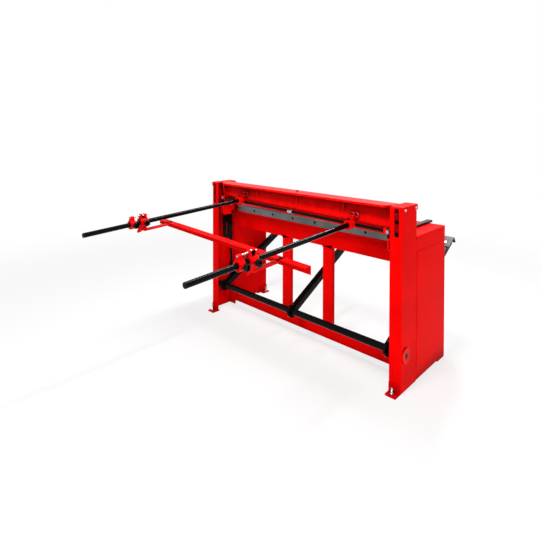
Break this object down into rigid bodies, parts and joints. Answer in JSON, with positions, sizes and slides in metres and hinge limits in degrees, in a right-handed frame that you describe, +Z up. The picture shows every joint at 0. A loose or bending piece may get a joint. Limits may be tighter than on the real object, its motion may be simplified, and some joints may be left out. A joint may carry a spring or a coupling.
{
  "type": "guillotine shear",
  "caption": "Floor-standing treadle shear for sheet metal: raked blade on a sliding ram, pull links, hold-down and a rod-guided back gauge with fine adjustment.",
  "frame": {"origin": "on the floor, under the middle of the machine's bounding box", "axes": "+Z up, -Y towards the operator at the treadle, +X to the operator's right"},
  "size_m": [1.667, 2.1241, 1.043],
  "materials": {
    "red_paint": "glossy red enamel",
    "black_paint": "semi-gloss black enamel",
    "blued_steel": "blackened steel",
    "blade_steel": "ground tool steel",
    "zinc_steel": "bright zinc plate",
    "bearing_bronze": "oiled bearing bronze",
    "black_plastic": "moulded black phenolic"
  },
  "bodies": {
    "frame": {"column_left": "red_paint", "column_right": "red_paint", "column_caps": "red_paint", "side_plate_left": "red_paint", "side_plate_right": "red_paint", "side_cover_left": "red_paint", "side_cover_right": "red_paint", "table_top": "red_paint", "blade_bar": "red_paint", "bed_web": "red_paint", "bed_post_left": "red_paint", "bed_post_right": "red_paint", "cross_member": "red_paint", "front_rail": "red_paint", "rear_feet": "red_paint", "front_feet": "red_paint", "levelling_screws": "zinc_steel", "ram_guides": "red_paint", "gib_strips": "blued_steel", "gib_screws": "blued_steel", "guide_bolts": "zinc_steel", "cap_bolts": "zinc_steel", "bearing_flanges": "red_paint", "shaft_bushes": "bearing_bronze", "lower_blade": "blade_steel", "lower_blade_screws": "blued_steel", "side_gauge": "blade_steel", "side_gauge_screws": "zinc_steel", "return_springs": "blued_steel"},
    "ram": {"ram_beam": "red_paint", "ram_end_left": "red_paint", "ram_end_right": "red_paint", "upper_blade": "blade_steel", "upper_blade_screws": "blued_steel", "truss_rod": "blued_steel", "truss_fittings": "zinc_steel", "rod_hubs": "red_paint", "ram_screws": "blued_steel", "gauge_rods": "blued_steel", "link_pins": "blued_steel", "hold_down_cups": "red_paint"},
    "hold_down": {"hold_down": "black_paint"},
    "treadle": {"treadle_shaft": "black_paint", "treadle_arms": "black_paint", "foot_board": "black_paint", "board_bolts": "blued_steel", "lower_link_pins": "blued_steel"},
    "pull_link_left": {"pull_link_left": "black_paint"},
    "pull_link_right": {"pull_link_right": "black_paint"},
    "gauge_locks": {"lock_blocks": "red_paint", "fine_screws": "zinc_steel"},
    "gauge_carriage": {"carriages": "red_paint", "gauge_bar": "red_paint", "gauge_bar_bolts": "blued_steel"},
    "fine_nut_left": {"fine_nut_left": "blued_steel"},
    "fine_nut_right": {"fine_nut_right": "blued_steel"},
    "lock_knob_left": {"lock_knob_left": "black_plastic"},
    "lock_knob_right": {"lock_knob_right": "black_plastic"},
    "carriage_knob_left": {"carriage_knob_left": "black_plastic"},
    "carriage_knob_right": {"carriage_knob_right": "black_plastic"}
  },
  "joints": [
    {"name": "treadle_press", "type": "hinge", "parent": "frame", "child": "treadle", "pos_m": [0, -0.16642, 0.2054], "axis": [1, 0, 0], "range_deg": [0, 24]},
    {"name": "ram_slide", "type": "slide", "parent": "frame", "child": "ram", "axis": [0, 0, -1], "range_m": [0, 0.0431], "stiffness_N_per_m": 60000, "springref_m": -0.045, "deforming": ["return_springs"]},
    {"name": "hold_down_slide", "type": "slide", "parent": "ram", "child": "hold_down", "axis": [0, 0, 1], "range_m": [0, 0.0179]},
    {"name": "link_left_swing", "type": "hinge", "parent": "ram", "child": "pull_link_left", "pos_m": [-0.74, -0.23461, 0.791], "axis": [-1, 0, 0], "range_deg": [0, 4.2]},
    {"name": "link_right_swing", "type": "hinge", "parent": "ram", "child": "pull_link_right", "pos_m": [0.74, -0.23461, 0.791], "axis": [-1, 0, 0], "range_deg": [0, 4.2]},
    {"name": "gauge_slide", "type": "slide", "parent": "ram", "child": "gauge_locks", "axis": [0, 0.9987, -0.0506], "range_m": [-0.665, 0.26]},
    {"name": "gauge_fine", "type": "slide", "parent": "gauge_locks", "child": "gauge_carriage", "axis": [0, 0.9987, -0.0506], "range_m": [-0.01, 0.01]},
    {"name": "fine_nut_left_turn", "type": "hinge", "parent": "gauge_carriage", "child": "fine_nut_left", "pos_m": [-0.49, 0.69356, 0.89519], "axis": [0, 0.9987, -0.0506], "range_deg": [-2401, 2401]},
    {"name": "lock_knob_left_turn", "type": "hinge", "parent": "gauge_locks", "child": "lock_knob_left", "pos_m": [-0.49, 0.76529, 0.8485], "axis": [-1, 0, 0], "range_deg": [0, 180]},
    {"name": "carriage_knob_left_turn", "type": "hinge", "parent": "gauge_carriage", "child": "carriage_knob_left", "pos_m": [-0.49, 0.69139, 0.85224], "axis": [-1, 0, 0], "range_deg": [0, 180]},
    {"name": "fine_nut_right_turn", "type": "hinge", "parent": "gauge_carriage", "child": "fine_nut_right", "pos_m": [0.49, 0.69356, 0.92598], "axis": [0, 0.9987, -0.0506], "range_deg": [-2401, 2401]},
    {"name": "lock_knob_right_turn", "type": "hinge", "parent": "gauge_locks", "child": "lock_knob_right", "pos_m": [0.49, 0.76529, 0.87929], "axis": [-1, 0, 0], "range_deg": [0, 180]},
    {"name": "carriage_knob_right_turn", "type": "hinge", "parent": "gauge_carriage", "child": "carriage_knob_right", "pos_m": [0.49, 0.69139, 0.88304], "axis": [-1, 0, 0], "range_deg": [0, 180]}
  ],
  "couplings": [
    {"joint": "ram_slide", "follows": "treadle_press", "m_per_rad": 0.10256},
    {"joint": "hold_down_slide", "follows": "treadle_press", "m_per_rad": 0.042399},
    {"joint": "link_left_swing", "follows": "treadle_press", "ratio": 0.174},
    {"joint": "link_right_swing", "follows": "treadle_press", "ratio": 0.174},
    {"joint": "fine_nut_left_turn", "follows": "gauge_fine", "rad_per_m": 4188.8},
    {"joint": "fine_nut_right_turn", "follows": "gauge_fine", "rad_per_m": 4188.8}
  ]
}
